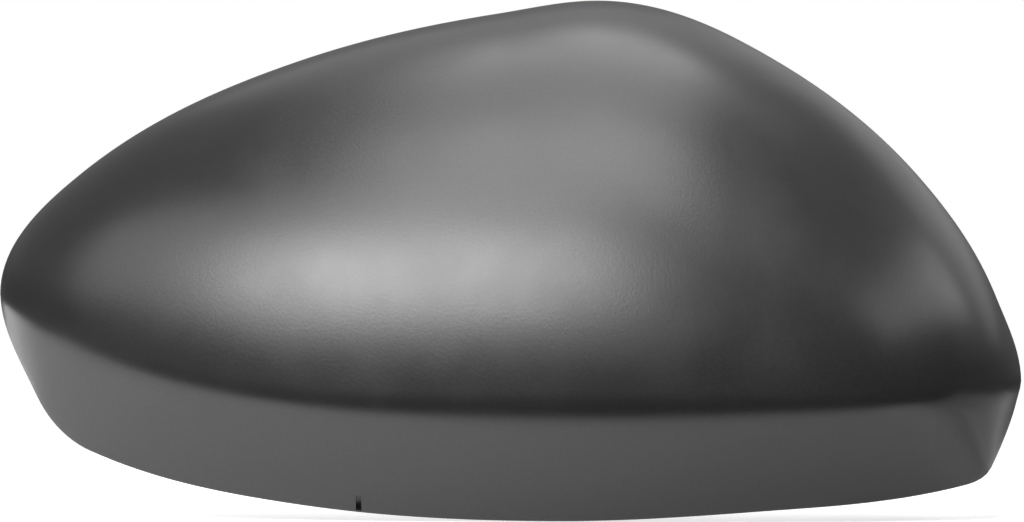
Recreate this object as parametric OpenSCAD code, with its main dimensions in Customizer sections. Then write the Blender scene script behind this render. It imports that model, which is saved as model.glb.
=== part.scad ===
// Cover of a wing mirror for the right-hand side of a car: one moulded shell
// that snaps on to the mirror head from the front.
// x runs from the outboard tip to the inboard end, y from the nose back to the
// mirror glass, z up. The origin is the seat of the inboard locating pin.

/* [Shell] */
// Width from the outboard tip to the inboard end
cover_w = 225; // [200:1:250]
// Height from the lower edge to the crown
cover_h = 113.5; // [101:0.5:126]
// Depth from the rear rim to the nose
cover_d = 64; // [58:1:70]
// Thickness of the moulded wall
wall_t = 2.5; // [2.2:0.1:3]

/* [Nose and skirt] */
// Distance of the deepest section from the outboard tip
nose_x = 160; // [145:1:175]
// Height of the nose line above the lower edge, along the middle
nose_z = 29; // [25:1:33]
// Length over which the nose line rises to the outboard tip
nose_rise_len = 90; // [70:1:110]
// Forward reach of the lower edge, as a share of the depth above it
skirt_reach = 0.7; // [0.6:0.01:0.8]
// Height of the skirt at which its edge reaches fully forward
skirt_rise = 20; // [14:1:26]
// Height of the skirt's straight band above the lower edge
skirt_band = 16.5; // [12:0.5:20]

/* [Locating pins] */
// Radius of a pin
pin_r = 2.5; // [2:0.1:3]
// Length of the round part of a pin, from its seat
pin_len = 10; // [8:0.5:14]
// Length of the tapered lead of a pin
pin_lead = 2; // [1:0.5:3]
// Radius of the post that carries a pin
post_r = 3.5; // [3.2:0.1:4]
// Distance of the pin seats in front of the rear rim
seat_depth = 30; // [26:1:36]
// Distance of the outboard pin from the outboard tip
pin_out_x = 104; // [96:1:112]
// Distance between the two pins
pin_pitch = 80; // [70:1:84]
// Height of the pins above the lower edge
pin_z = 40; // [37:1:44]
// Width of the cross fins that brace a post, at the wall
fin_w = 15; // [11:1:18]

/* [Snap hooks] */
// Width of a hook
hook_w = 9; // [7:0.5:12]
// Thickness of a hook's tongue
hook_t = 1.8; // [1.4:0.1:2.4]
// Gap between the wall's skin and a tongue
hook_gap = 7; // [6:0.5:9]
// Height of a hook's barb
barb_h = 1.6; // [1:0.1:2]
// Length of a hook's barb
barb_len = 5; // [4:0.5:7]
// Reach of the upper hooks behind the rear rim
hook_reach = 4; // [2:0.5:6]
// Length of the lower hooks behind the lower edge
sole_hook_len = 12; // [9:0.5:15]
// Distances of the upper hooks from the outboard tip
crown_hook_x = [58, 106, 153]; // [50:1:160]
// Distances of the lower hooks from the outboard tip
sole_hook_x = [56, 124, 189]; // [50:1:195]

/* [Ribs and notch] */
// Thickness of ribs, fins and gussets
rib_t = 1.2; // [1:0.1:1.6]
// Height of the stiffening ribs above the inner wall
rib_h = 3.5; // [2.5:0.5:5]
// Distances of the upright ribs from the outboard tip
rib_x = [62, 83, 131, 157]; // [55:1:205]
// Heights of the two level ribs above the lower edge
rib_z = [30, 67]; // [28:1:72]
// Height of the spacers that centre the housing's edge in the rim
spacer_h = 2.5; // [1.5:0.5:3.5]
// Length of the spacers on the skirt
spacer_len = 12; // [9:1:15]
// Distances of the spacers under the crown from the outboard tip
crown_spacer_x = [34, 82, 130, 176]; // [30:1:180]
// Distances of three spacers on the skirt from the outboard tip
sole_spacer_x = [38, 95, 152]; // [34:1:160]
// Distance of the fourth one from the inboard end
end_spacer_gap = 20; // [17:1:30]
// Width of the small blind notch just above the lower edge
notch_w = 1.2; // [1:0.1:2]
// Length of the notch up the skin
notch_h = 4; // [2:0.1:5]
// Depth of the notch, square to the skin
notch_d = 1.6; // [1:0.1:1.8]
// Height of the land left under the notch
notch_land = 0.5; // [0.4:0.1:2]
// Distance of the notch from the outboard tip
notch_x = 80; // [74:1:84]

/* [Facets] */
// Length of a facet along the rim
facet_len = 6.5; // [6:0.5:9]
// Rings of facets from the middle of the face to the rim
rings = 14; // [12:1:16]

/* [Hidden] */
$fn = 48;

// Outline seen from the front, once round from the outboard tip over the crown:
// share of the width, share of the height, heading of the line in degrees
KNOTS = [
    [0.000, 0.430, 90], [0.079, 0.663, 39], [0.291, 0.881, 19], [0.489, 0.975, 9],
    [0.586, 1.000, 0], [0.728, 0.920, -28], [0.901, 0.657, -49], [0.974, 0.432, -68],
    [1.000, 0.261, -90], [0.964, 0.099, -120], [0.939, 0.068, -167], [0.782, 0.025, -176],
    [0.545, 0.000, -180], [0.295, 0.030, -188], [0.094, 0.128, -203], [0.040, 0.231, -243]
];
// Knot at the inboard end, where the upper half of the outline stops
END_KNOT = 8;
// Handle of the curve between two knots, as a share of their distance
HANDLE = 0.345;
// Finer steps of the lines that the depth is read from, for one facet
FINE = 4;
// Middle of the face, where the rings start, as shares of width and height
POLE = [0.52 * cover_w, 0.40 * cover_h];
// Roundness of the outboard sweep, of the inboard end and of the crown
SWEEP = [1.8, 2];
END = [4, 2.2];
CROWN = [2, 2];
// Largest share of the skirt's height that its straight band takes
BAND_SHARE = 0.68;
// Step for measuring a slope, and the smallest span that is divided by
STEP = 0.5;
SPAN = 0.01;
// Fins stop this far below a pin's seat and this far out from its post
FIN_STOP = [3, 1];
// Blunt height of a barb's end, and the place of its peak as a share of its length
BARB_END = 0.3;
BARB_PEAK = 0.6;
// Depths at which gussets and spacers follow the wall under the crown
GUSSET = [3, 6, 10, 14];
// Spacers on the skirt start this far above the edge; a cutter overshoots by this
SETBACK = 2;
OVERCUT = 1;

tip_z = KNOTS[0].y * cover_h;
end_z = KNOTS[END_KNOT].y * cover_h;
pin_in_x = pin_out_x + pin_pitch;
origin = [pin_in_x, -seat_depth, pin_z];

function clamp(v) = min(max(v, 0), 1);
function ease(v) = let (c = clamp(v)) c * c * (3 - 2 * c);

function knot(i) = let (k = KNOTS[i % len(KNOTS)]) [k.x * cover_w, k.y * cover_h];
function heading(i) = let (a = KNOTS[i % len(KNOTS)][2]) [cos(a), sin(a)];

// A cubic curve from knot i to the next one, without its last point
function curve(i, fine) =
    let (
        a = knot(i), b = knot(i + 1), h = HANDLE * norm(b - a),
        p = a + h * heading(i), q = b - h * heading(i + 1),
        n = fine * max(4, round(norm(b - a) / facet_len))
    )
    [for (s = [0:n - 1]) let (t = s / n, r = 1 - t)
        r * r * r * a + 3 * r * r * t * p + 3 * r * t * t * q + t * t * t * b];

function flat(lists) = [for (l = lists) each l];
rim = flat([for (i = [0:len(KNOTS) - 1]) curve(i, 1)]);
crown_line = flat([for (i = [0:END_KNOT - 1]) curve(i, FINE)]);
sole_line = flat([for (i = [END_KNOT:len(KNOTS) - 1]) curve(i, FINE)]);
top_table = concat(crown_line, [knot(END_KNOT)]);
sole_table = let (n = len(sole_line))
    concat([knot(0)], [for (i = [n - 1:-1:0]) sole_line[i]]);

// Height of the crown and of the lower edge above x
function top_z(x) = lookup(x, top_table);
function sole_z(x) = lookup(x, sole_table);

// Depth of the nose line: an ellipse-like sweep to the tip, a blunt inboard end
function nose_depth(x) =
    let (
        side = x < nose_x ? SWEEP : END,
        span = x < nose_x ? nose_x : cover_w - nose_x
    )
    cover_d * pow(1 - pow(clamp(abs(x - nose_x) / span), side[0]), 1 / side[1]);

// Height of the nose line: level along the middle, rising to both ends
function nose_height(x) =
    nose_z
    + (tip_z - nose_z) * pow(clamp(1 - x / nose_rise_len), 2.2)
    + (end_z - nose_z) * pow(clamp((x - nose_x) / (cover_w - nose_x)), 2);

// Depth of the lower edge as a share of the nose's, nil at the two ends
function reach(x) = skirt_reach * ease((nose_height(x) - sole_z(x)) / skirt_rise);

// Skirt profile from 0 to 1, at b below the nose line of a skirt h high: its
// slope grows smoothly over the shoulder, then it runs straight to the edge
function skirt(b, h) =
    let (
        band = min(skirt_band, BAND_SHARE * h),
        bend = h - band,
        t = clamp(b / bend)
    )
    (bend * (pow(t, 3) - pow(t, 4) / 2) + max(b - bend, 0)) / (bend / 2 + band);

// Depth of the skin in front of the rear rim, at a place seen from the front
function depth(x, z) =
    let (zn = nose_height(x), zt = top_z(x), zb = sole_z(x), d = nose_depth(x))
    z >= zn
        ? d * pow(1 - pow(clamp((z - zn) / max(zt - zn, SPAN)), CROWN[0]), 1 / CROWN[1])
        : d * (1 - (1 - reach(x)) * min(skirt(zn - z, max(zn - zb, SPAN)), 1));

// Depth of the rim itself: nil over the crown, the reach along the lower edge
function rim_depth(p) = p.y >= nose_height(p.x) ? 0 : nose_depth(p.x) * reach(p.x);

// Point of the skin on ring i, column j; the rings crowd towards the rim
function skin(j, i) =
    let (p = POLE + sin(90 * i / rings) * (rim[j] - POLE))
    [p.x, -(i == rings ? rim_depth(p) : depth(p.x, p.y)), p.y];

function unit(v) = v / norm(v);

// Inward normal of the skin; at the rear rim it lies in the rim's plane
function inward(g, j, i) =
    let (
        n = len(rim),
        along = g[i][(j + 1) % n] - g[i][(j + n - 1) % n],
        across = g[min(i + 1, rings)][j] - g[max(i - 1, 0)][j],
        v = unit(cross(across, along)),
        p = g[i][j],
        turn = p.z >= nose_height(p.x) ? 0 : reach(p.x) / skirt_reach
    )
    i == rings ? unit([v.x, v.y * turn, v.z]) : v;

outer_grid = [for (i = [0:rings]) [for (j = [0:len(rim) - 1]) skin(j, i)]];
// The grid of the surface that lies t inside the skin
function inset_grid(t) =
    [for (i = [1:rings]) [for (j = [0:len(rim) - 1])
        outer_grid[i][j] + t * inward(outer_grid, j, i)]];

// Faces of a dome whose first point is its pole and whose rings follow;
// first is the number of its pole, way turns the faces over
function dome_faces(n, first, way) = concat(
    [for (j = [0:n - 1]) let (a = first + 1 + j, b = first + 1 + (j + 1) % n)
        way ? [first, a, b] : [first, b, a]],
    [for (i = [0:rings - 2]) for (j = [0:n - 1]) let (
            a = first + 1 + i * n + j, b = first + 1 + i * n + (j + 1) % n,
            c = a + n, d = b + n
        ) each way ? [[a, c, d], [a, d, b]] : [[a, d, c], [a, b, d]]]
);

// The moulded wall: skin, inner surface and the land that joins them at the rim
module wall() {
    n = len(rim);
    outer = flat([for (i = [1:rings]) outer_grid[i]]);
    inner = flat(inset_grid(wall_t));
    pole = outer_grid[0][0];
    half = 1 + len(outer);
    last = 1 + (rings - 1) * n;
    land = [for (j = [0:n - 1]) let (
            a = last + j, b = last + (j + 1) % n, c = half + a, d = half + b
        ) each [[a, c, d], [a, d, b]]];
    polyhedron(
        points = concat([pole], outer, [pole + [0, wall_t, 0]], inner),
        faces = concat(dome_faces(n, 0, true), dome_faces(n, half, false), land)
    );
}

// How much longer the wall measures along y than square to itself
function stretch_y(x, z) =
    let (
        gx = (depth(x + STEP, z) - depth(x - STEP, z)) / (2 * STEP),
        gz = (depth(x, z + STEP) - depth(x, z - STEP)) / (2 * STEP)
    )
    sqrt(1 + gx * gx + gz * gz);

// y of the surface that lies t inside the skin
function inside_y(x, z, t) = -(depth(x, z) - t * stretch_y(x, z));
// Roots of all inner features end in the middle of the wall
function root_y(x, z) = inside_y(x, z, wall_t / 2);

// A plate square to x whose outline is given as points [y, z]
module upright(x, t, outline) {
    translate([x - t / 2, 0, 0]) rotate([90, 0, 90]) linear_extrude(t) polygon(outline);
}

// A plate square to z whose outline is given as points [x, y]
module level(z, t, outline) {
    translate([0, 0, z - t / 2]) linear_extrude(t) polygon(outline);
}

module upright_rib(x, z0, z1, h) {
    n = 10;
    zs = [for (s = [0:n]) z0 + (z1 - z0) * s / n];
    upright(x, rib_t, concat(
        [for (z = zs) [root_y(x, z), z]],
        [for (s = [n:-1:0]) [inside_y(x, zs[s], wall_t + h), zs[s]]]
    ));
}

module level_rib(z, x0, x1) {
    n = 14;
    xs = [for (s = [0:n]) x0 + (x1 - x0) * s / n];
    level(z, rib_t, concat(
        [for (x = xs) [x, root_y(x, z)]],
        [for (s = [n:-1:0]) [xs[s], inside_y(xs[s], z, wall_t + rib_h)]]
    ));
}

// Round post with a pin on its end and two crossed fins round its foot
module pin_post(x) {
    seat = -seat_depth;
    foot = root_y(x, pin_z);
    fin_top = seat - FIN_STOP[0];
    fin_r = post_r + FIN_STOP[1];
    half = fin_w / 2;
    module rod(y0, y1, r0, r1) {
        translate([x, y0, pin_z]) rotate([-90, 0, 0]) cylinder(h = y1 - y0, r1 = r0, r2 = r1);
    }
    rod(foot, seat, post_r, post_r);
    rod(seat - OVERCUT, seat + pin_len, pin_r, pin_r);
    rod(seat + pin_len, seat + pin_len + pin_lead, pin_r, pin_r / 2);
    level(pin_z, rib_t, [
        [x - half, root_y(x - half, pin_z)], [x, foot], [x + half, root_y(x + half, pin_z)],
        [x + fin_r, fin_top], [x - fin_r, fin_top]
    ]);
    upright(x, rib_t, [
        [root_y(x, pin_z - half), pin_z - half], [foot, pin_z],
        [root_y(x, pin_z + half), pin_z + half],
        [fin_top, pin_z + fin_r], [fin_top, pin_z - fin_r]
    ]);
}

// z of the wall's middle under the crown, d in front of the rear rim
function crown_mid_z(x, d) =
    let (zn = nose_height(x), f = clamp(d / nose_depth(x)))
    zn + (top_z(x) - zn) * pow(1 - pow(f, CROWN[1]), 1 / CROWN[0]) - wall_t / 2;

// Tongue of a hook: a level plate from the middle of the wall back to its end,
// with a barb that points down or up
module tongue(x, z, end_y, up) {
    n = 4;
    xs = [for (s = [0:n]) x + hook_w * (s / n - 0.5)];
    face = z + up * hook_t / 2;
    level(z, hook_t, concat(
        [for (tx = xs) [tx, root_y(tx, z)]], [[xs[n], end_y], [xs[0], end_y]]
    ));
    upright(x, hook_w, [
        [end_y - barb_len, z], [end_y - barb_len, face],
        [end_y - barb_len * BARB_PEAK, face + up * barb_h],
        [end_y, face + up * BARB_END], [end_y, z]
    ]);
}

// Hook under the crown: its tongue hangs on two gussets
module crown_hook(x) {
    z = top_z(x) - hook_gap - hook_t / 2;
    tongue(x, z, hook_reach, -1);
    for (gx = [x - (hook_w - rib_t) / 2, x + (hook_w - rib_t) / 2])
        upright(gx, rib_t, concat(
            [[root_y(gx, z), z], [-GUSSET[0], z]],
            [for (d = GUSSET) [-d, crown_mid_z(gx, d)]]
        ));
}

// Hook above the lower edge
module sole_hook(x) {
    z = sole_z(x) + hook_gap + hook_t / 2;
    tongue(x, z, -nose_depth(x) * reach(x) + sole_hook_len, 1);
}

// Low plates round the rim that hold the housing's edge off the wall
module crown_spacer(x) {
    drop = wall_t / 2 + spacer_h;
    upright(x, rib_t, concat(
        [for (d = GUSSET) [-d, crown_mid_z(x, d)]],
        [for (i = [len(GUSSET) - 1:-1:0]) [-GUSSET[i], crown_mid_z(x, GUSSET[i]) - drop]]
    ));
}

module sole_spacer(x) {
    z0 = sole_z(x) + SETBACK;
    upright_rib(x, z0, z0 + spacer_len, spacer_h);
}

// Two level ribs joined by uprights that end on them
module ladder() {
    for (z = rib_z) level_rib(z, rib_x[0], rib_x[len(rib_x) - 1]);
    for (x = rib_x) upright_rib(x, rib_z[0], rib_z[1], rib_h);
}

// Blind slot square to the skin of the skirt, just above the lower edge
module notch() {
    z = sole_z(notch_x) + notch_land;
    front = depth(notch_x, z);
    lean = atan2(depth(notch_x, z + notch_h) - front, notch_h);
    translate([notch_x - notch_w / 2, -front, z]) rotate([lean, 0, 0])
        translate([0, -OVERCUT, 0]) cube([notch_w, OVERCUT + notch_d, notch_h]);
}

module mirror_cover() {
    color([0.11, 0.11, 0.115]) translate(-origin) difference() {
        union() {
            wall();
            for (x = [pin_out_x, pin_in_x]) pin_post(x);
            for (x = crown_hook_x) crown_hook(x);
            for (x = sole_hook_x) sole_hook(x);
            for (x = crown_spacer_x) crown_spacer(x);
            for (x = concat(sole_spacer_x, cover_w - end_spacer_gap)) sole_spacer(x);
            ladder();
        }
        notch();
    }
}

mirror_cover();
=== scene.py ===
# %% [markdown]
# # A wing mirror cover in satin black plastic
# The cover is one moulding: a deep shell with a double-curved face, and inside it the
# ribs, posts and hooks that hold it on the mirror head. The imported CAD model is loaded
# first and stays as it is. It gives the frame that every piece is placed in: x runs
# from the outboard tip to the car, y from the nose back to the glass, and z up.

import bpy
import numpy as np
from mathutils import Matrix


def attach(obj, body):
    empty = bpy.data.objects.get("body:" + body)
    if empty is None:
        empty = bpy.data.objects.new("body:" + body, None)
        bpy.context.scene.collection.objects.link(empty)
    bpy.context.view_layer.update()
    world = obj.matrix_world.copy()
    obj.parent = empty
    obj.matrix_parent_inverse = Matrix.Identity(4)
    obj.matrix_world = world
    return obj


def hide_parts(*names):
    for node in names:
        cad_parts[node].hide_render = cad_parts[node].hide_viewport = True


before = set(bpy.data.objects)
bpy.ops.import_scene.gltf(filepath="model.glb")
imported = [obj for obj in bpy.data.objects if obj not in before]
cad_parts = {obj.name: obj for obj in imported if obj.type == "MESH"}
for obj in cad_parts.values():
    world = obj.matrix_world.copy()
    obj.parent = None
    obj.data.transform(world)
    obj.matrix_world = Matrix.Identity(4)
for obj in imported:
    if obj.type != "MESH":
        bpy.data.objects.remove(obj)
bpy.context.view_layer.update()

# %% [markdown]
# ## Sizes
# A moulding is drawn in millimetres, so the sizes here are too, and one line turns
# them into Blender's metres when a mesh is made. Heights are measured from the lower
# edge, widths from the outboard tip, and depths from the plane of the rear rim.

# %% Sizes of the shell
MM = 0.001
COVER_W = 225.0
COVER_H = 113.5
COVER_D = 64.0
WALL = 2.5
SEAT_DEPTH = 30.0
PIN_X = (104.0, 184.0)
PIN_Z = 40.0
ORIGIN = np.array([PIN_X[1], -SEAT_DEPTH, PIN_Z])
print(f"cover {COVER_W} x {COVER_D} x {COVER_H} mm, wall {WALL} mm")

# %% [markdown]
# ## The outline
# Seen from the front the cover is a long drop: pointed outboard, highest past the
# middle, cut off steeply towards the car. Such a line could be traced with many
# points, but then every small error would show as a ripple in the gloss. A few knots
# with a heading each, joined by cubic curves, stay smooth and can be adjusted one by
# one.

# %% Outline from knots
# share of the width, share of the height, heading in degrees
KNOTS = np.array([
    [0.000, 0.430, 90], [0.079, 0.663, 39], [0.291, 0.881, 19], [0.489, 0.975, 9],
    [0.586, 1.000, 0], [0.728, 0.920, -28], [0.901, 0.657, -49], [0.974, 0.432, -68],
    [1.000, 0.261, -90], [0.964, 0.099, -120], [0.939, 0.068, -167],
    [0.782, 0.025, -176], [0.545, 0.000, -180], [0.295, 0.030, -188],
    [0.094, 0.128, -203], [0.040, 0.231, -243],
])
END_KNOT = 8
HANDLE = 0.345
FINE_STEP = 0.1


def outline(step):
    """Closed curve through the knots, with a point about every step millimetres.

    Between two knots a and b the point at t is the cubic
    (1-t)^3 a + 3 (1-t)^2 t p + 3 (1-t) t^2 q + t^3 b, where p and q lie a fixed share
    of the distance along the two headings. Returns the points and their knot numbers.
    """
    knots = KNOTS[:, :2] * [COVER_W, COVER_H]
    turn = np.radians(KNOTS[:, 2])
    ways = np.c_[np.cos(turn), np.sin(turn)]
    points, numbers = [], []
    for k, (a, b) in enumerate(zip(knots, np.roll(knots, -1, axis=0))):
        gap = np.linalg.norm(b - a)
        p = a + HANDLE * gap * ways[k]
        q = b - HANDLE * gap * ways[(k + 1) % len(ways)]
        t = np.linspace(0, 1, max(4, round(gap / step)), endpoint=False)[:, None]
        points.append((1 - t) ** 3 * a + 3 * (1 - t) ** 2 * t * p
                      + 3 * (1 - t) * t ** 2 * q + t ** 3 * b)
        numbers.append(np.full(len(t), k))
    return np.vstack(points), np.concatenate(numbers)


fine, number = outline(FINE_STEP)
crown_line = np.vstack([fine[number < END_KNOT],
                        KNOTS[END_KNOT, :2] * [COVER_W, COVER_H]])
sole_line = np.vstack([[0, KNOTS[0, 1] * COVER_H], fine[number >= END_KNOT][::-1]])


def top_z(x):
    """Height of the crown above x."""
    return np.interp(x, *crown_line.T)


def sole_z(x):
    """Height of the lower edge above x."""
    return np.interp(x, *sole_line.T)


print(f"outline from {len(KNOTS)} knots, height {np.ptp(fine[:, 1]):.1f} mm")

# %% [markdown]
# ## The skin
# The face isn't a ball or an extrusion: it sweeps back slowly to the outboard tip and
# ends bluntly at the car, with a rounded crown above the nose line. Below it a soft
# shoulder turns into a short skirt that runs straight to the edge. It could be
# sculpted, but a formula for the depth at each place of the front view keeps it as
# clean as a styling surface.

# %% Depth of the skin
NOSE_X = 160.0
NOSE_Z = 29.0
NOSE_RISE_LEN = 90.0
NOSE_RISE_POWER = (2.2, 2.0)
SKIRT_REACH = 0.7
SKIRT_RISE = 20.0
SKIRT_BAND = 16.5
BAND_SHARE = 0.68
SWEEP = (1.8, 2.0)
BLUNT_END = (4.0, 2.2)
TIP_Z = KNOTS[0, 1] * COVER_H
END_Z = KNOTS[END_KNOT, 1] * COVER_H
SPAN = 0.01  # least height that is divided by


def ease(v):
    """Smooth step from 0 to 1: 3 v^2 - 2 v^3."""
    v = np.clip(v, 0, 1)
    return v * v * (3 - 2 * v)


def nose_depth(x):
    """Depth of the nose line: D (1 - u^a)^(1/b), with u the share of the way to the
    nearer end, and a and b the roundness of that side."""
    outboard = x < NOSE_X
    u = np.abs(x - NOSE_X) / np.where(outboard, NOSE_X, COVER_W - NOSE_X)
    a = np.where(outboard, SWEEP[0], BLUNT_END[0])
    b = np.where(outboard, SWEEP[1], BLUNT_END[1])
    return COVER_D * (1 - np.clip(u, 0, 1) ** a) ** (1 / b)


def nose_height(x):
    """Height of the nose line: level in the middle, rising to both ends."""
    outboard = np.clip(1 - x / NOSE_RISE_LEN, 0, 1) ** NOSE_RISE_POWER[0]
    inboard = np.clip((x - NOSE_X) / (COVER_W - NOSE_X), 0, 1) ** NOSE_RISE_POWER[1]
    return NOSE_Z + (TIP_Z - NOSE_Z) * outboard + (END_Z - NOSE_Z) * inboard


def reach(x):
    """How far forward the lower edge stands, as a share of the nose's depth."""
    return SKIRT_REACH * ease((nose_height(x) - sole_z(x)) / SKIRT_RISE)


def skirt(b, height):
    """Profile of the skirt from 0 to 1, at b below the nose line. Over the shoulder
    the slope grows by a smooth step, whose sum is t^3 - t^4 / 2, and below it the
    band is straight."""
    band = np.minimum(SKIRT_BAND, BAND_SHARE * height)
    bend = height - band
    t = np.clip(b / bend, 0, 1)
    return ((bend * (t ** 3 - t ** 4 / 2) + np.maximum(b - bend, 0))
            / (bend / 2 + band))


def depth(x, z):
    """Depth at a place of the front view: d (1 - t^2)^(1/2) above the nose line, with
    t the share of the way to the crown, and the skirt's profile below it."""
    nose, deep = nose_height(x), nose_depth(x)
    t = np.clip((z - nose) / np.maximum(top_z(x) - nose, SPAN), 0, 1)
    s = skirt(np.maximum(nose - z, 0), np.maximum(nose - sole_z(x), SPAN))
    return np.where(z >= nose, deep * np.sqrt(1 - t * t),
                    deep * (1 - (1 - reach(x)) * np.minimum(s, 1)))


nose_line = np.linspace(0, COVER_W, 451)
print(f"deepest at x = {nose_line[nose_depth(nose_line).argmax()]:.1f} mm")

# %% [markdown]
# ## The grid of the skin
# The depth is laid on rings that run from the middle of the face out to the outline.
# Evenly spaced rings would leave long faces where the crown turns in at the rim, so
# there they crowd by a sine. On the skirt, which is nearly flat, they stay even.

# %% Rings of the skin
COLUMN_STEP = 1.6
RINGS = 78
POLE = np.array([0.52 * COVER_W, 0.40 * COVER_H])


def skin_grid():
    """Skin as rings x columns: each column goes from the pole to its point of the
    outline, by v on the skirt and by sin(90 v) under the crown, and the depth of that
    place is taken backwards from the rear rim."""
    rim, _ = outline(COLUMN_STEP)
    on_skirt = rim[:, 1] < nose_height(rim[:, 0])
    even = np.where(on_skirt, reach(rim[:, 0]) / SKIRT_REACH, 0)
    v = np.linspace(0, 1, RINGS + 1)[:, None]
    share = even * v + (1 - even) * np.sin(np.pi / 2 * v)
    place = POLE + share[..., None] * (rim - POLE)
    deep = depth(place[..., 0], place[..., 1])
    deep[-1] = np.where(on_skirt, nose_depth(rim[:, 0]) * reach(rim[:, 0]), 0)
    return np.stack([place[..., 0], -deep, place[..., 1]], axis=-1), even


def unit(v):
    return v / np.linalg.norm(v, axis=-1, keepdims=True)


def inward_normals(grid, even):
    """Cross product of the grid's two tangents. On the last ring it is turned into the
    rim's own plane, fully under the crown and not at all on the skirt."""
    along = np.roll(grid, -1, axis=1) - np.roll(grid, 1, axis=1)
    across = np.gradient(grid, axis=0)
    normals = unit(np.cross(across, along)[1:])
    normals[-1, :, 1] *= even
    return unit(normals)


skin, evenness = skin_grid()
normals = inward_normals(skin, evenness)
print("skin grid:", skin.shape[:2], "mean inward normal at the nose:",
      normals[2].mean(axis=0).round(2))

# %% [markdown]
# ## The wall and its rim
# The real shell is 2.5 mm thick all over. A Solidify modifier would give the
# thickness, but it can't keep the rear land flat, which has to meet the housing. So
# the inner face is the skin moved along its normals, and the profile is carried from
# the skin round the land to the inside, with a small radius at both edges as on any
# moulded rim.

# %% Closed wall
RIM_RADIUS = 0.4
ARC_STEPS = 4


def rounded_edge(edge, first, second):
    """Arc from edge + r first to edge + r second, bulging towards the edge."""
    turn = np.linspace(0, np.pi / 2, ARC_STEPS + 1)[:, None, None]
    middle = edge + RIM_RADIUS * (first + second)
    return middle - RIM_RADIUS * (second * np.cos(turn) + first * np.sin(turn))


def wall_rings():
    """Outer rings, the rounded land and the inner rings, as one stack of loops."""
    inner = skin[1:] + WALL * normals
    outer_edge, inner_edge = skin[-1], inner[-1]
    land = unit(inner_edge - outer_edge)
    up_outer = unit(skin[-2] - outer_edge)
    up_inner = unit(inner[-2] - inner_edge)
    return np.concatenate([
        skin[1:-1],
        rounded_edge(outer_edge, up_outer, land),
        rounded_edge(inner_edge, -land, up_inner),
        inner[-2::-1],
    ])


rings = wall_rings()
poles = np.array([skin[0, 0], skin[0, 0] + [0, WALL, 0]])
print("wall loops:", rings.shape[0], "columns:", rings.shape[1])

# %% [markdown]
# ## From rings to a closed mesh
# Every solid here is a stack of loops: the shell, a rib, a hook or a turned pin. One
# function joins each loop to the next with quads and closes both ends, so that the
# mesh has no open edge. The signed volume tells whether the faces point outwards.

# %% Closed solid from rings


def volume(mesh):
    """Sum of a . (b x c) / 6 over the triangles: positive if they point outwards."""
    mesh.calc_loop_triangles()
    corners = np.empty(len(mesh.vertices) * 3)
    mesh.vertices.foreach_get("co", corners)
    threes = np.empty(len(mesh.loop_triangles) * 3, dtype=int)
    mesh.loop_triangles.foreach_get("vertices", threes)
    a, b, c = corners.reshape(-1, 3)[threes.reshape(-1, 3)].swapaxes(0, 1)
    return np.einsum("ij,ij->", a, np.cross(b, c)) / 6


def solid(name, loops, poles=None):
    """Quads from corner (i, j) to (i, j+1), (i+1, j+1) and (i+1, j). The ends are
    closed with fans round two poles, or else with one flat face each."""
    n, m = loops.shape[:2]
    corners = loops.reshape(-1, 3)
    j = np.arange(m)
    k = (j + 1) % m
    start = np.arange(n - 1)[:, None] * m
    quads = np.stack([start + j, start + k, start + m + k, start + m + j], axis=-1)
    faces = quads.reshape(-1, 4).tolist()
    last = (n - 1) * m
    if poles is None:
        faces += [j[::-1].tolist(), (last + j).tolist()]
    else:
        corners = np.vstack([corners, poles])
        faces += np.c_[k, j, np.full(m, n * m)].tolist()
        faces += np.c_[last + j, last + k, np.full(m, n * m + 1)].tolist()
    mesh = bpy.data.meshes.new(name)
    mesh.from_pydata((corners - ORIGIN) * MM, [], faces)
    if volume(mesh) < 0:
        mesh.flip_normals()
    piece = bpy.data.objects.new(name, mesh)
    bpy.context.scene.collection.objects.link(piece)
    return piece


cover = solid("mirror_cover_shell", rings, poles)
print(f"plain shell: {volume(cover.data) * 1e6:.1f} cm3,",
      f"{len(cover.data.polygons)} faces")

# %% [markdown]
# ## Where the inside begins
# Ribs, posts and hooks grow out of the inner face. Their roots end in the middle of
# the wall, so they never show on the skin. The wall measures more along y than square
# to itself where the face is steep, and the slope of the depth says by how much.

# %% Places inside the wall
SLOPE_STEP = 0.5


def inside_y(x, z, t):
    """y of the surface that lies t inside the skin, by -(depth - t (1 + g^2)^(1/2))
    with g the slope of the depth."""
    gx = (depth(x + SLOPE_STEP, z) - depth(x - SLOPE_STEP, z)) / (2 * SLOPE_STEP)
    gz = (depth(x, z + SLOPE_STEP) - depth(x, z - SLOPE_STEP)) / (2 * SLOPE_STEP)
    return t * np.sqrt(1 + gx ** 2 + gz ** 2) - depth(x, z)


def root_y(x, z):
    return inside_y(x, z, WALL / 2)


def crown_mid_z(x, d):
    """Height of the wall's middle under the crown, d in front of the rear rim."""
    nose = nose_height(x)
    share = np.clip(d / nose_depth(x), 0, 1)
    return nose + (top_z(x) - nose) * np.sqrt(1 - share ** 2) - WALL / 2


print(f"inner face at the nose: y = {inside_y(NOSE_X, NOSE_Z, WALL):.1f} mm")

# %% [markdown]
# ## Ribs, fins and gussets
# All of these are thin plates between two lines: one in the wall and one that is
# free. Moulded plates are a little thinner at the free edge, so that they leave the
# tool. A plate is a loop of four corners carried along the two lines.

# %% Plate between two lines
RIB_T = 1.2
RIB_H = 3.5
RIB_X = (62.0, 83.0, 131.0, 157.0)
RIB_Z = (30.0, 67.0)
LEVEL_PLACES = 25
UPRIGHT_PLACES = 11
DRAFT = 0.85
ACROSS_X = np.array([1.0, 0.0, 0.0])
ACROSS_Z = np.array([0.0, 0.0, 1.0])


def line(x, y, z):
    return np.stack(np.broadcast_arrays(x, y, z), axis=-1).astype(float)


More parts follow.
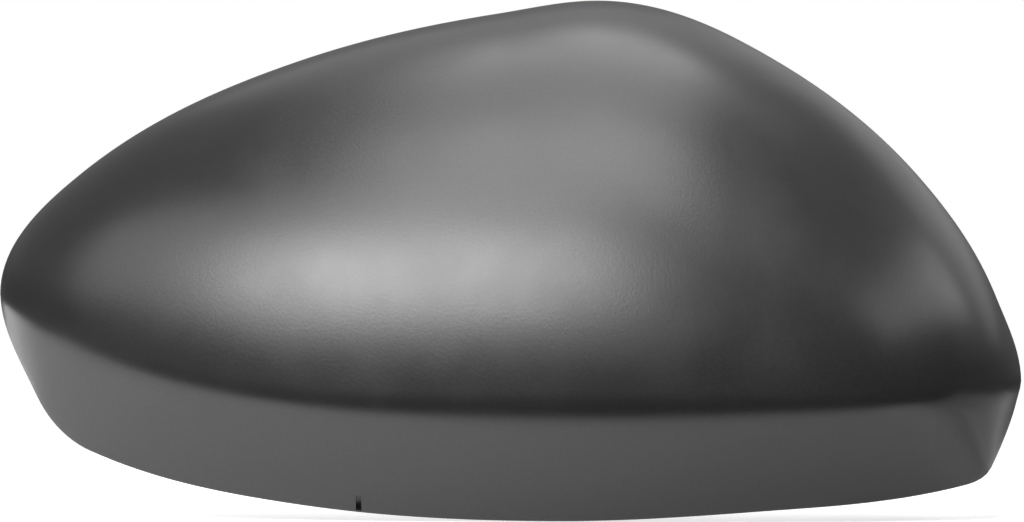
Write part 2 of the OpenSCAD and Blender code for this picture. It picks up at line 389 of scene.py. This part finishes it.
def plate(name, root, free, across, thick=RIB_T):
    """Four corners at every place: the root line to both sides by half the thickness,
    and the free line to both sides by a little less."""
    half = across * thick / 2
    return solid(name, np.stack(
        [root - half, free - half * DRAFT, free + half * DRAFT, root + half], axis=1))


def wall_rib(name, x, z, height, across):
    """Plate that follows the inner face and stands height above it."""
    return plate(name, line(x, root_y(x, z), z),
                 line(x, inside_y(x, z, WALL + height), z), across)


inner = []
for z in RIB_Z:
    inner.append(wall_rib("level_rib", np.linspace(RIB_X[0], RIB_X[-1], LEVEL_PLACES),
                          np.full(LEVEL_PLACES, z), RIB_H, ACROSS_Z))
for x in RIB_X:
    inner.append(wall_rib("upright_rib", np.full(UPRIGHT_PLACES, x),
                          np.linspace(*RIB_Z, UPRIGHT_PLACES), RIB_H, ACROSS_X))
print("ribs:", len(inner))

# %% [markdown]
# ## Posts and locating pins
# Two round posts reach back to the carrier of the mirror head, and the thinner pin on
# each of them finds its hole. They are turned shapes: a profile of radius against
# depth, carried round a circle. Two crossed fins brace the foot of each post.

# %% Posts with pins
POST_R = 3.5
PIN_R = 2.5
PIN_LEN = 10.0
PIN_LEAD = 2.0
FIN_W = 15.0
FIN_BELOW_SEAT = 3.0
FIN_STEP = 1.0
FIN_PLACES = 9
CHAMFER = 0.3
ROUND = 48


def turned(name, x, profile):
    """Circle of radius r at every y of the profile, round the pin's axis."""
    y, r = np.array(profile).T[..., None]
    turn = np.linspace(0, 2 * np.pi, ROUND, endpoint=False)
    return solid(name, line(x + r * np.cos(turn), y, PIN_Z + r * np.sin(turn)))


for x in PIN_X:
    foot = root_y(x, PIN_Z)
    seat = -SEAT_DEPTH
    tip = seat + PIN_LEN
    inner.append(turned("post", x, [
        (foot, POST_R), (seat - CHAMFER, POST_R), (seat, POST_R - CHAMFER),
        (seat, PIN_R), (tip, PIN_R), (tip + PIN_LEAD - CHAMFER, PIN_R / 2 + CHAMFER),
        (tip + PIN_LEAD, PIN_R / 2)]))
    wide = np.linspace(-FIN_W / 2, FIN_W / 2, FIN_PLACES)
    narrow = np.linspace(-POST_R - FIN_STEP, POST_R + FIN_STEP, FIN_PLACES)
    fin_y = seat - FIN_BELOW_SEAT
    inner.append(plate("level_fin", line(x + wide, root_y(x + wide, PIN_Z), PIN_Z),
                       line(x + narrow, fin_y, PIN_Z), ACROSS_Z))
    inner.append(plate("upright_fin",
                       line(x, root_y(np.full(FIN_PLACES, x), PIN_Z + wide),
                            PIN_Z + wide),
                       line(x, fin_y, PIN_Z + narrow), ACROSS_X))
print("posts at x =", PIN_X, "mm, seats", SEAT_DEPTH, "mm in front of the rim")

# %% [markdown]
# ## Snap hooks
# Three hooks under the crown and three above the lower edge click into windows of the
# housing. Each is a springy tongue with a barb. Its side view is one closed profile,
# carried across the width, and its root follows the wall from side to side. The upper
# hooks hang on two gussets each.

# %% Hooks
HOOK_W = 9.0
HOOK_T = 1.8
HOOK_GAP = 7.0
HOOK_PLACES = 5
BARB_H = 1.6
BARB_LEN = 5.0
BARB_NOSE = 0.3
BARB_PEAK = 0.6
HOOK_REACH = 4.0
SOLE_HOOK_LEN = 12.0
CROWN_HOOK_X = (58.0, 106.0, 153.0)
SOLE_HOOK_X = (56.0, 124.0, 189.0)
GUSSET_DEPTHS = np.array([3.0, 6.0, 10.0, 14.0])


def tongue(name, x, z, end_y, up):
    """Side view of tongue and barb at a few places across the width; up is 1 or -1,
    the side that the barb points to."""
    xs = x + HOOK_W * np.linspace(-0.5, 0.5, HOOK_PLACES)
    back, face = z - up * HOOK_T / 2, z + up * HOOK_T / 2
    return solid(name, np.stack([
        line(xs, root_y(xs, z), back), line(xs, end_y, back),
        line(xs, end_y, face + up * BARB_NOSE),
        line(xs, end_y - BARB_LEN * BARB_PEAK, face + up * BARB_H),
        line(xs, end_y - BARB_LEN, face), line(xs, root_y(xs, z), face)], axis=1))


for x in CROWN_HOOK_X:
    z = top_z(x) - HOOK_GAP - HOOK_T / 2
    inner.append(tongue("crown_hook", x, z, HOOK_REACH, -1))
    for gx in (x - (HOOK_W - RIB_T) / 2, x + (HOOK_W - RIB_T) / 2):
        along = np.linspace(-GUSSET_DEPTHS[0], root_y(gx, z), len(GUSSET_DEPTHS))
        inner.append(plate("gusset",
                           line(gx, -GUSSET_DEPTHS, crown_mid_z(gx, GUSSET_DEPTHS)),
                           line(gx, along, z), ACROSS_X))
for x in SOLE_HOOK_X:
    inner.append(tongue("sole_hook", x, sole_z(x) + HOOK_GAP + HOOK_T / 2,
                        SOLE_HOOK_LEN - nose_depth(x) * reach(x), 1))
print("hooks:", len(CROWN_HOOK_X) + len(SOLE_HOOK_X))

# %% [markdown]
# ## Spacers and the notch
# Low plates round the rim keep the housing's edge off the wall, four under the crown
# and four on the skirt. A short blind slot runs up the skirt from just above its edge.
# It looks dark because it is deep for its width, so it is a real cut and not a line in
# the finish.

# %% Spacers and notch cutter
SPACER_H = 2.5
SPACER_LEN = 12.0
CROWN_SPACER_X = (34.0, 82.0, 130.0, 176.0)
SOLE_SPACER_X = (38.0, 95.0, 152.0, COVER_W - 20.0)
SETBACK = 2.0
NOTCH_X = 80.0
NOTCH_W = 1.2
NOTCH_H = 4.0
NOTCH_D = 1.6
NOTCH_LAND = 0.5
OVERCUT = 1.0

for x in CROWN_SPACER_X:
    mid = line(x, -GUSSET_DEPTHS, crown_mid_z(x, GUSSET_DEPTHS))
    inner.append(plate("crown_spacer", mid,
                       mid - [0, 0, WALL / 2 + SPACER_H], ACROSS_X))
for x in SOLE_SPACER_X:
    z = sole_z(x) + SETBACK + np.linspace(0, SPACER_LEN, UPRIGHT_PLACES)
    inner.append(wall_rib("sole_spacer", np.full(UPRIGHT_PLACES, x), z, SPACER_H,
                          ACROSS_X))


def notch_cutter():
    """A box square to the skin: its corners in the plane of y and z are a start plus
    steps along the inward and the upward direction, at both sides of the slot."""
    z = sole_z(NOTCH_X) + NOTCH_LAND
    front = depth(NOTCH_X, z)
    lean = np.arctan2(depth(NOTCH_X, z + NOTCH_H) - front, NOTCH_H)
    steps = np.array([[-OVERCUT, 0], [NOTCH_D, 0],
                      [NOTCH_D, NOTCH_H], [-OVERCUT, NOTCH_H]])
    ways = np.array([[np.cos(lean), np.sin(lean)], [-np.sin(lean), np.cos(lean)]])
    y, z = ([-front, z] + steps @ ways).T
    sides = NOTCH_X + NOTCH_W * np.array([[-0.5], [0.5]])
    return solid("notch_cutter", line(sides, y, z))


notch = notch_cutter()
print("solids on the inside:", len(inner))

# %% [markdown]
# ## One moulding
# Overlapping pieces would look right, but the real cover is one body, and its mesh
# should be too. The small solids first get rounded edges from a Bevel modifier. Then
# Boolean modifiers unite them with the wall and cut the notch, and the result is
# read out as a plain mesh.

# %% Unite the solids
EDGE_RADIUS = 0.25 * MM
EDGE_ANGLE = np.radians(60)
SMOOTH_ANGLE = np.radians(38)


def baked(obj):
    """The object's mesh with all its modifiers worked in."""
    made = obj.evaluated_get(bpy.context.evaluated_depsgraph_get())
    return bpy.data.meshes.new_from_object(made)


for part in inner:
    bevel = part.modifiers.new("rounded_edges", "BEVEL")
    bevel.width, bevel.segments = EDGE_RADIUS, 2
    bevel.limit_method, bevel.angle_limit = "ANGLE", EDGE_ANGLE
    bevel.use_clamp_overlap = True
for part, operation in [(p, "UNION") for p in inner] + [(notch, "DIFFERENCE")]:
    join = cover.modifiers.new(part.name, "BOOLEAN")
    join.object, join.operation, join.solver = part, operation, "MANIFOLD"
mesh = baked(cover)
cover.modifiers.clear()
cover.data = mesh
for part in [*inner, notch]:
    bpy.data.objects.remove(part)
mesh.name = cover.name
mesh.materials.clear()
mesh.shade_smooth()
mesh.set_sharp_from_angle(angle=SMOOTH_ANGLE)
print(f"moulding: {volume(mesh) * 1e6:.2f} cm3, {len(mesh.loop_triangles)} triangles")

# %% [markdown]
# ## Satin black plastic
# The real cover comes off the tool in black plastic with a fine, even grain, ready to
# be used as it is. Its gloss is soft and wide. A plain dark colour would look like
# rubber, so two noises do the work: a fine one that lifts the surface by a few
# thousandths of a millimetre, and a broad one that changes the gloss a little from
# place to place. Both read Object coordinates, so they sit still on the piece.

# %% Plastic
PLASTIC = (0.016, 0.016, 0.0165)
PLASTIC_IOR = 1.5
SPECULAR = 0.85
ROUGHNESS = 0.30
ROUGHNESS_CHANGE = 0.02
TINT_RANGE = (0.8, 1.2)
GRAIN_SIZE = 0.55 * MM
GRAIN_DEPTH = 0.016 * MM
GRAIN_DETAIL = 2
CLOUD_SIZE = 14 * MM
CLOUD_DETAIL = 3
NOISE_MIDDLE = (0.3, 0.7)


def node(tree, kind, **values):
    made = tree.nodes.new(kind)
    for name, value in values.items():
        setattr(made, name, value)
    return made


def noise(tree, place, size, detail):
    """Noise whose features measure about size metres."""
    made = node(tree, "ShaderNodeTexNoise")
    made.inputs["Scale"].default_value = 1 / size
    made.inputs["Detail"].default_value = detail
    tree.links.new(place, made.inputs["Vector"])
    return made.outputs["Fac"]


def mapped(tree, value, low, high, span=NOISE_MIDDLE):
    """A value's span, by default the middle part of a noise, stretched from low to
    high by a smooth step."""
    made = node(tree, "ShaderNodeMapRange", interpolation_type="SMOOTHSTEP")
    for name, number in zip(("From Min", "From Max", "To Min", "To Max"),
                            (*span, low, high)):
        made.inputs[name].default_value = number
    tree.links.new(value, made.inputs["Value"])
    return made.outputs["Result"]


def combined(tree, operation, *values):
    """Values worked together by a Math node."""
    made = node(tree, "ShaderNodeMath", operation=operation)
    for value, socket in zip(values, made.inputs):
        tree.links.new(value, socket)
    return made.outputs["Value"]


def plastic(name, colour, roughness):
    material = bpy.data.materials.new(name)
    material.use_nodes = True
    tree = material.node_tree
    shader = tree.nodes["Principled BSDF"]
    shader.inputs["IOR"].default_value = PLASTIC_IOR
    shader.inputs["Specular IOR Level"].default_value = SPECULAR
    place = node(tree, "ShaderNodeTexCoord").outputs["Object"]
    cloud = noise(tree, place, CLOUD_SIZE, CLOUD_DETAIL)
    grain = noise(tree, place, GRAIN_SIZE, GRAIN_DETAIL)

    tint = node(tree, "ShaderNodeMix", data_type="RGBA")
    for end, share in zip("AB", TINT_RANGE):
        tint.inputs[end].default_value = [c * share for c in colour] + [1]
    tree.links.new(mapped(tree, grain, 0, 1), tint.inputs["Factor"])
    tree.links.new(tint.outputs["Result"], shader.inputs["Base Color"])
    gloss = mapped(tree, cloud, roughness - ROUGHNESS_CHANGE,
                   roughness + ROUGHNESS_CHANGE)
    tree.links.new(gloss, shader.inputs["Roughness"])

    bump = node(tree, "ShaderNodeBump")
    bump.inputs["Strength"].default_value = 1.0
    bump.inputs["Distance"].default_value = GRAIN_DEPTH
    tree.links.new(grain, bump.inputs["Height"])
    tree.links.new(bump.outputs["Normal"], shader.inputs["Normal"])
    return material


cover.data.materials.append(plastic("satin_black_plastic", PLASTIC, ROUGHNESS))
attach(cover, "root")
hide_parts("mirror_cover")
print("plastic: roughness", ROUGHNESS, "grain", GRAIN_SIZE / MM, "mm")

# %% [markdown]
# ## Floor
# The stage is a plain pale floor under the lower edge. The camera sees it as white,
# apart from the cover's shadow: part of its light is its own, for camera rays, and the
# rest is what the lamps give it. A gloss shows its surroundings, so the pale paint is
# only a sheet under and behind the cover. The skirt looks down on the sheet, and the
# shoulder above it reflects the darker table in front, which gives its dark line. The
# sheet also has a painted glow that only the gloss sees and no lamp gives: a painted
# reflection on the skirt, stronger outboard than inboard.

# %% Floor
FLOOR_Z = -ORIGIN[2] * MM
FLOOR_SIDE = 3.0
FLOOR_PALE = (0.8, 0.8, 0.8, 1)
FLOOR_FAR = (0.05, 0.05, 0.05, 1)
FLOOR_ROUGHNESS = 0.9
FLOOR_GLOW = 0.6
# Painted reflection: strength of a glow on the sheet that only glossy rays see, not a
# lamp.
FLOOR_PAINTED_SHEEN = 0.55
SHEET_MIDDLE = (-0.20, 0.24, FLOOR_Z)
SHEET_HALF = (0.225, 0.277, 0)
SHEET_FADE = (0.05, 0.027, 1)
# Painted reflection: the glossy-only glow fades from outboard to inboard over this span
# of x.
PAINTED_SHEEN_RAMP = (-0.13, 0.06)
WHOLE = (0, 1)

x, y = np.meshgrid([-FLOOR_SIDE, FLOOR_SIDE], [-FLOOR_SIDE, FLOOR_SIDE])
sheet = bpy.data.meshes.new("floor")
sheet.from_pydata(line(x, y, FLOOR_Z).reshape(-1, 3), [], [(0, 1, 3, 2)])
floor = bpy.data.objects.new("floor", sheet)
bpy.context.scene.collection.objects.link(floor)

paint = bpy.data.materials.new("pale_floor")
paint.use_nodes = True
tree = paint.node_tree
shader = tree.nodes["Principled BSDF"]
shader.inputs["Roughness"].default_value = FLOOR_ROUGHNESS
shader.inputs["Specular IOR Level"].default_value = 0.0
place = node(tree, "ShaderNodeTexCoord").outputs["Object"]
away = place
for operation, value in (("SUBTRACT", SHEET_MIDDLE), ("ABSOLUTE", (0, 0, 0)),
                         ("SUBTRACT", SHEET_HALF), ("MAXIMUM", (0, 0, 0)),
                         ("DIVIDE", SHEET_FADE)):
    step = node(tree, "ShaderNodeVectorMath", operation=operation)
    tree.links.new(away, step.inputs[0])
    step.inputs[1].default_value = value
    away = step.outputs["Vector"]
length = node(tree, "ShaderNodeVectorMath", operation="LENGTH")
tree.links.new(away, length.inputs[0])
fade = mapped(tree, length.outputs["Value"], 0, 1, WHOLE)
colour = node(tree, "ShaderNodeMix", data_type="RGBA")
colour.inputs["A"].default_value = FLOOR_PALE
colour.inputs["B"].default_value = FLOOR_FAR
tree.links.new(fade, colour.inputs["Factor"])
tree.links.new(colour.outputs["Result"], shader.inputs["Base Color"])
path = node(tree, "ShaderNodeLightPath")
split = node(tree, "ShaderNodeSeparateXYZ")
tree.links.new(place, split.inputs["Vector"])
seen = combined(tree, "MULTIPLY", path.outputs["Is Camera Ray"],
                mapped(tree, fade, FLOOR_GLOW, 1, WHOLE))
# Painted reflection: the sheet glows for glossy rays only, stronger outboard, so the
# skirt shows it.
painted_reflection = combined(tree, "MULTIPLY", path.outputs["Is Glossy Ray"],
                    mapped(tree, split.outputs["X"], 1, 0, PAINTED_SHEEN_RAMP))
glow = combined(tree, "MULTIPLY_ADD", painted_reflection,
                mapped(tree, fade, FLOOR_PAINTED_SHEEN, 0, WHOLE), seen)
shader.inputs["Emission Color"].default_value = (1, 1, 1, 1)
tree.links.new(glow, shader.inputs["Emission Strength"])
sheet.materials.append(paint)
print("floor at z =", FLOOR_Z, "m")

# %% [markdown]
# ## Surroundings
# The camera sees white. The gloss sees a studio: paler walls behind the cover, above
# the height of a table, and a dim room in front, where the camera stands. A ramp on
# the direction's y times one on its z gives both.

# %% World
ROOM_DIM = 0.11
ROOM_BRIGHT = 0.27
BACK_RAMP = (-0.5, 0.5)
UP_RAMP = (0.06, 0.32)

world = bpy.data.worlds.new("studio")
bpy.context.scene.world = world
world.use_nodes = True
tree = world.node_tree
background = tree.nodes["Background"]
direction = node(tree, "ShaderNodeTexCoord").outputs["Generated"]
split = node(tree, "ShaderNodeSeparateXYZ")
tree.links.new(direction, split.inputs["Vector"])
both = combined(tree, "MULTIPLY", mapped(tree, split.outputs["Y"], 0, 1, BACK_RAMP),
                mapped(tree, split.outputs["Z"], 0, 1, UP_RAMP))
room = mapped(tree, both, ROOM_DIM, ROOM_BRIGHT, WHOLE)
choose = node(tree, "ShaderNodeMix", data_type="FLOAT")
path = node(tree, "ShaderNodeLightPath")
tree.links.new(path.outputs["Is Camera Ray"], choose.inputs["Factor"])
tree.links.new(room, choose.inputs["A"])
choose.inputs["B"].default_value = 1.0
background.inputs["Color"].default_value = (1, 1, 1, 1)
tree.links.new(choose.outputs["Result"], background.inputs["Strength"])
print("world: white for the camera,", ROOM_DIM, "to", ROOM_BRIGHT, "for the gloss")

# %% [markdown]
# ## Lamps
# A satin surface shows its lamps as broad lights. A wide softbox on the left above the
# camera makes the main one across the nose, and its lower edge gives the quick fall to
# dark along the shoulder. A weaker one beside it lights the outboard sweep, and one
# high up and a long one overhead the crown. Two stand behind the cover and keep its
# outline from going dark. A strip on the right draws the line along the inboard side,
# and a panel that lies on the floor lights the skirt's inboard end.

# %% Softboxes
TARGET = np.array([-0.08, 0.0, 0.01])
PANEL_GAP = 1 * MM
PANEL_PLACE = np.array([0.135, 0.08, FLOOR_Z + 2 * PANEL_GAP])


def softbox(name, azimuth, elevation, distance, size, radiance, target=TARGET):
    """Area lamp at a direction from the target, turned to face it. Its power is
    radiance x pi x area, for a lamp that shines to one side."""
    az, el = np.radians([azimuth, elevation])
    away = np.array([np.sin(az) * np.cos(el), -np.cos(az) * np.cos(el), np.sin(el)])
    lamp = bpy.data.lights.new(name, "AREA")
    lamp.shape, lamp.size, lamp.size_y = "RECTANGLE", *size
    lamp.energy = radiance * np.pi * size[0] * size[1]
    made = bpy.data.objects.new(name, lamp)
    made.location = target + away * distance
    side = [np.cos(az), np.sin(az), 0]
    rows = np.array([side, np.cross(away, side), away])
    made.rotation_euler = Matrix(rows.T.tolist()).to_euler()
    made.visible_camera = False
    bpy.context.scene.collection.objects.link(made)
    print(f"{name}: {lamp.energy:.0f} W, {azimuth} deg round, {elevation} deg up")


softbox("main_softbox", -25.2, 24.5, 1.5, (0.87, 0.55), 8.1)
softbox("left_softbox", -50, 29, 1.4, (1.35, 0.81), 1.55)
softbox("high_softbox", -14, 57, 1.2, (0.80, 0.60), 1.4)
softbox("overhead_softbox", -15, 78.5, 1.2, (0.83, 2.07), 2.3)
softbox("back_softbox", 178, 58, 1.2, (1.00, 1.10), 0.5)
softbox("back_right_softbox", 150, 20, 1.2, (0.80, 0.50), 0.36)
softbox("right_strip", 76, 35, 1.4, (2.45, 0.41), 1.5)
softbox("floor_panel", 0, -90, PANEL_GAP, (0.16, 0.24), 0.42, PANEL_PLACE)

# %% [markdown]
# ## Camera
# The photograph is taken level with the cover and from a distance, with a long lens:
# the sides stay nearly parallel. The picture's width matches the cover's at the rim.

# %% Camera
SENSOR = 36.0
EYE = np.array([113.0, -1500.0, 56.0])
FRAME_W = 226.2

camera = bpy.data.cameras.new("camera")
camera.sensor_width = SENSOR
camera.lens = SENSOR * -EYE[1] / FRAME_W
view = bpy.data.objects.new("camera", camera)
view.location = (EYE - ORIGIN) * MM
view.rotation_euler = (np.pi / 2, 0, 0)
bpy.context.scene.collection.objects.link(view)
bpy.context.scene.camera = view
bpy.context.scene.view_settings.view_transform = "Standard"
print(f"lens {camera.lens:.1f} mm")
